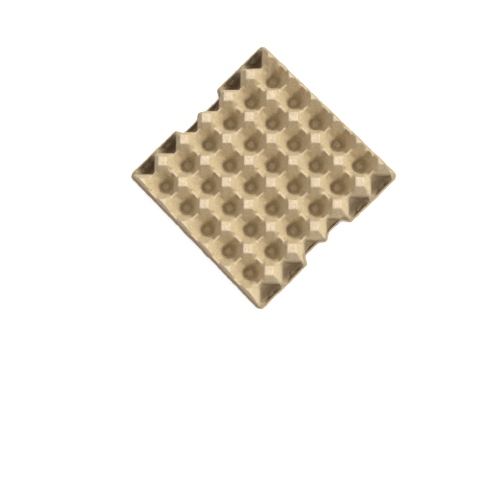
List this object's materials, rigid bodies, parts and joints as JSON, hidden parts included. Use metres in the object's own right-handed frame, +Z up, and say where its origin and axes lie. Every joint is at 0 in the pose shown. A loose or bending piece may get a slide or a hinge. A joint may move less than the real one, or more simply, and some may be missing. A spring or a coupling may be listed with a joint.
{
  "type": "pulp egg tray",
  "caption": "Square moulded pulp tray with rows of round egg cups between hollow square posts, a low flange all round and finger notches in two edges.",
  "frame": {"origin": "middle of the tray, in the plane of the undersides of the cups", "axes": "+Z up out of the cups; X runs across the five columns of cups, towards a notched edge; Y runs along the six rows, towards a straight edge"},
  "size_m": [0.306, 0.303, 0.046],
  "materials": {
    "pulp": "rough matte moulded pulp"
  },
  "bodies": {
    "root": {"egg_tray": "pulp"}
  },
  "joints": []
}
